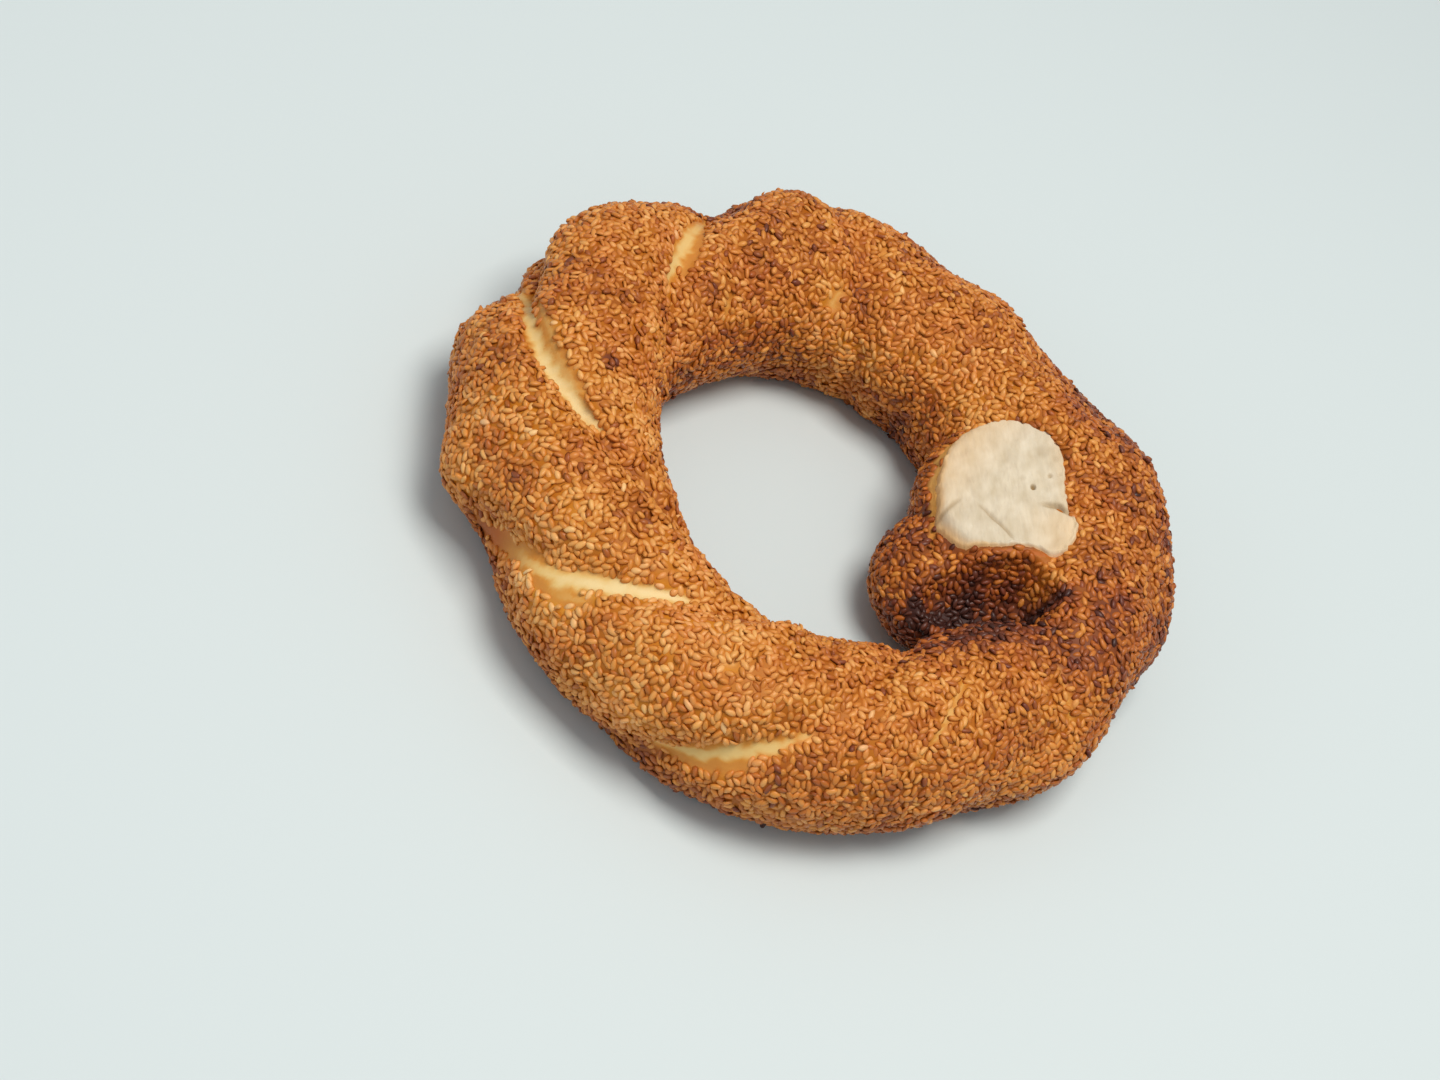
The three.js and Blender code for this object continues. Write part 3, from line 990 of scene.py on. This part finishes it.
def toastedSesame():
    # roasted seed coat: satin, from pale gold to dark brown as it toasts, with painted shade round its rim
    # and in part of its browning; here and there it is a little pinker, over about a centimetre
    material, shader = newMaterial("toastedSesame", Roughness=0.38, IOR=1.45, Specular_IOR_Level=0.4)
    toast = addNode(material, "ShaderNodeAttribute", {"attribute_name": "toast"}).outputs["Fac"]
    rim = addNode(material, "ShaderNodeAttribute", {"attribute_name": "rim"}).outputs["Fac"]
    darker = addNode(material, "ShaderNodeMath", {"operation": "MULTIPLY_ADD", 1: 0.08}, {0: rim, 2: toast})
    stops = [
        (0.0, "#f4cb90"), (0.22, "#eaae63"), (0.45, "#d88d3c"), (0.65, "#b36424"), (0.82, "#7b3f27"),
        (1.0, "#43261f"),
    ]
    golden = addNode(material, "ShaderNodeValToRGB", {"stops": stops}, {"Fac": darker.outputs[0]})
    place = addNode(material, "ShaderNodeTexCoord").outputs["Object"]
    patches = addNode(
        material, "ShaderNodeTexNoise", {"Scale": 1 / (10.5 * mm), "Detail": 2}, {"Vector": place}
    )
    amount = addNode(
        material, "ShaderNodeMapRange", {"From Min": 0.42, "From Max": 0.68, "To Max": 0.4},
        {"Value": patches.outputs["Fac"]},
    )
    blushing = addNode(
        material, "ShaderNodeMix", {"data_type": "RGBA", "blend_type": "MULTIPLY", 7: "#f5cfe0"},
        {"Factor": amount.outputs["Result"], 6: golden.outputs["Color"]},
    )
    material.node_tree.links.new(blushing.outputs[2], shader.inputs["Base Color"])
    return material


def glazedCrust():
    # the crust under the seeds, dipped in grape molasses and baked: brown and a little shiny, with smooth
    # golden dough in the cracks
    material, shader = newMaterial("glazedCrust", Roughness=0.48, IOR=1.45, Specular_IOR_Level=0.25)
    shades = []
    for name, stops in (
        # the darkest stops carry the painted shadow in the trough
        ("toast", [(0, "#e6a63c"), (0.3, "#cc7f1e"), (0.5, "#a85c12"), (0.7, "#783f25"), (1, "#40241f")]),
        ("tone", [(0, "#ebd49c"), (0.3, "#e2bd76"), (0.55, "#d4923f"), (0.8, "#b9642b"), (1, "#8a4a26")]),
    ):
        level = addNode(material, "ShaderNodeAttribute", {"attribute_name": name}).outputs["Fac"]
        shade = addNode(material, "ShaderNodeValToRGB", {"stops": stops}, {"Fac": level})
        shades.append(shade.outputs["Color"])
    bare = addNode(material, "ShaderNodeAttribute", {"attribute_name": "bare"}).outputs["Fac"]
    colour = addNode(
        material, "ShaderNodeMix", {"data_type": "RGBA"}, {"Factor": bare, 6: shades[0], 7: shades[1]}
    )
    material.node_tree.links.new(colour.outputs[2], shader.inputs["Base Color"])
    place = addNode(material, "ShaderNodeTexCoord").outputs["Object"]
    settings = {"Scale": 1 / (1.4 * mm), "Detail": 2}  # dimples of the glaze
    grain = addNode(material, "ShaderNodeTexNoise", settings, {"Vector": place}).outputs["Fac"]
    relief = addNode(material, "ShaderNodeBump", {"Strength": 0.4, "Distance": 0.2 * mm}, {"Height": grain})
    material.node_tree.links.new(relief.outputs["Normal"], shader.inputs["Normal"])
    return material


def tornDough():
    # crumb torn open: matt, off-white and fibrous, with painted shade in its pits and grooves, toasted along
    # its edge
    material, shader = newMaterial("tornDough", Roughness=0.85, IOR=1.4)
    place = addNode(material, "ShaderNodeTexCoord").outputs["Object"]
    turn = Matrix(tearAxes()).transposed().to_euler()
    streaks = []
    for across, along in ((0.8, 2.6), (1.9, 5), (4.5, 7)):  # fine fibres, strands and clumps
        settings = {"vector_type": "TEXTURE", "Rotation": turn, "Scale": (across * mm, along * mm, 2 * mm)}
        local = addNode(material, "ShaderNodeMapping", settings, {"Vector": place}).outputs["Vector"]
        pattern = addNode(material, "ShaderNodeTexNoise", {"Scale": 1, "Detail": 2}, {"Vector": local})
        streaks.append(pattern.outputs["Fac"])
    pit = addNode(material, "ShaderNodeAttribute", {"attribute_name": "pit"}).outputs["Fac"]
    edge = addNode(material, "ShaderNodeAttribute", {"attribute_name": "edge"}).outputs["Fac"]
    layers = [
        # factor, and the first and second colour, by name, as hex or as an earlier layer
        ("clumps", streaks[2], "#fff7e4", "#a48f69"),
        ("fibres", streaks[1], "#f3e5cd", "#b7a480"),
        ("crumb", streaks[0], "clumps", "fibres"),
        ("toasted", edge, "crumb", "#e0b478"),
        # painted shade in the pits and grooves
        ("pitShaded", pit, "toasted", "#957a52"),
    ]
    outputs = {}
    for name, factor, first, second in layers:
        settings = {"data_type": "RGBA"}
        links = {"Factor": factor}
        for socket, colour in ((6, first), (7, second)):
            if colour in outputs:
                links[socket] = outputs[colour]
            else:
                settings[socket] = colour
        outputs[name] = addNode(material, "ShaderNodeMix", settings, links).outputs[2]
    material.node_tree.links.new(outputs["pitShaded"], shader.inputs["Base Color"])
    relief = addNode(
        material, "ShaderNodeBump", {"Strength": 0.4, "Distance": 0.4 * mm}, {"Height": streaks[0]}
    )
    material.node_tree.links.new(relief.outputs["Normal"], shader.inputs["Normal"])
    return material


view = {
    "distance": 0.6,
    "elevation": 48,
    "roll": -31,
    "pixelsPerMetre": 4360,  # at the middle of the ring
    "ringAt": (820.7, 495),  # pixels in a frame of 1440 by 1080
    "frameSize": (1440, 1080),
    "sensorWidth": 36,
}


def viewAxes():
    elevation, roll = math.radians(view["elevation"]), math.radians(view["roll"])
    up = Vector((0, math.sin(elevation), math.cos(elevation)))
    towards = Vector((0, -math.cos(elevation), math.sin(elevation)))
    right = Vector((1, 0, 0))
    return (
        right * math.cos(roll) - up * math.sin(roll),
        right * math.sin(roll) + up * math.cos(roll),
        towards,
    )


def makeCamera():
    right, up, towards = viewAxes()
    distance = view["distance"]
    focal = view["pixelsPerMetre"] * distance
    width, height = view["frameSize"]
    offsetRight = (view["ringAt"][0] - width / 2) / focal * distance
    offsetUp = (height / 2 - view["ringAt"][1]) / focal * distance
    middle = Vector((*(c * mm for c in rope["centre"]), rope["height"] / 2 * mm))
    camera = bpy.data.cameras.new("camera")
    camera.sensor_width = view["sensorWidth"]
    camera.lens = view["sensorWidth"] * focal / width
    holder = bpy.data.objects.new("camera", camera)
    bpy.context.scene.collection.objects.link(holder)
    matrix = Matrix((right, up, towards)).transposed().to_4x4()
    matrix.translation = middle - right * offsetRight - up * offsetUp + towards * distance
    holder.matrix_world = matrix
    bpy.context.scene.camera = holder


room = {
    "light": "#eef4f6",
    "strength": 0.43,
    "table": "#d4dfe1",
    "tableSize": 6,  # metres
}
lights = [
    # name, direction as right, up and towards in the view, distance, size, watts, colour
    ("window", (0.46, 0.52, 0.82), 1.1, 0.55, 9.5, "#fff8f0"),
    ("fill", (-0.9, 0.1, 0.8), 1.3, 1.0, 2.2, "#e8f1ff"),
]


def makeLights():
    right, up, towards = viewAxes()
    for name, (a, b, c), distance, size, watts, colour in lights:
        lamp = bpy.data.lights.new(name, "AREA")
        lamp.energy = watts
        lamp.size = size
        lamp.color = linearColour(colour)[:3]
        holder = bpy.data.objects.new(name, lamp)
        bpy.context.scene.collection.objects.link(holder)
        direction = (right * a + up * b + towards * c).normalized()
        holder.location = direction * distance
        holder.rotation_euler = direction.to_track_quat("Z", "Y").to_euler()
    world = bpy.data.worlds.new("room")
    bpy.context.scene.world = world
    world.use_nodes = True
    background = world.node_tree.nodes["Background"]
    background.inputs["Color"].default_value = linearColour(room["light"])
    background.inputs["Strength"].default_value = room["strength"]


def makeFloor():
    startNew()
    bpy.ops.mesh.primitive_grid_add(x_subdivisions=4, y_subdivisions=4, size=room["tableSize"])
    floor = bpy.context.object
    floor.name = "table"
    # painted board: matt, plain and pale
    material, shader = newMaterial("paleTable", Roughness=0.75)
    shader.inputs["Base Color"].default_value = linearColour(room["table"])
    floor.data.materials.append(material)


rng = np.random.default_rng(randomSeed)
crust, seedless, heatAndShade = makeCrust()
crust.data.materials.append(glazedCrust())
tornCrumb = makeCrumb(crust)
tornCrumb.data.materials.append(tornDough())

places, normals, direction, vertex = placeSeeds(crust, seedless, rng)
count = len(places)
size = np.stack([rng.normal(1, spread, count) for spread in sesame["sizeSpread"]], axis=1)
lift = rng.uniform(*sesame["lift"], count)
toast = np.clip(toastAndShadeField(places, heatAndShade[vertex]) + bakingAndShade["spread"] * rng.normal(size=count), 0, 1)
sesameMaterial = toastedSesame()
shape = seedShape()
names = ("palestSeeds", "paleSeeds", "goldenSeeds", "amberSeeds", "brownSeeds", "darkSeeds")
cuts = [*np.quantile(toast, np.linspace(0, 1, len(names), endpoint=False)), 1.1]
for name, low, high in zip(names, cuts[:-1], cuts[1:]):
    mine = (toast >= low) & (toast < high)
    seeds = makeSeeds(
        name, shape, places[mine], normals[mine], direction[mine], size[mine], lift[mine], toast[mine], rng
    )
    seeds.data.materials.append(sesameMaterial)

makeCamera()
makeLights()
makeFloor()
bpy.context.scene.view_settings.view_transform = "Standard"
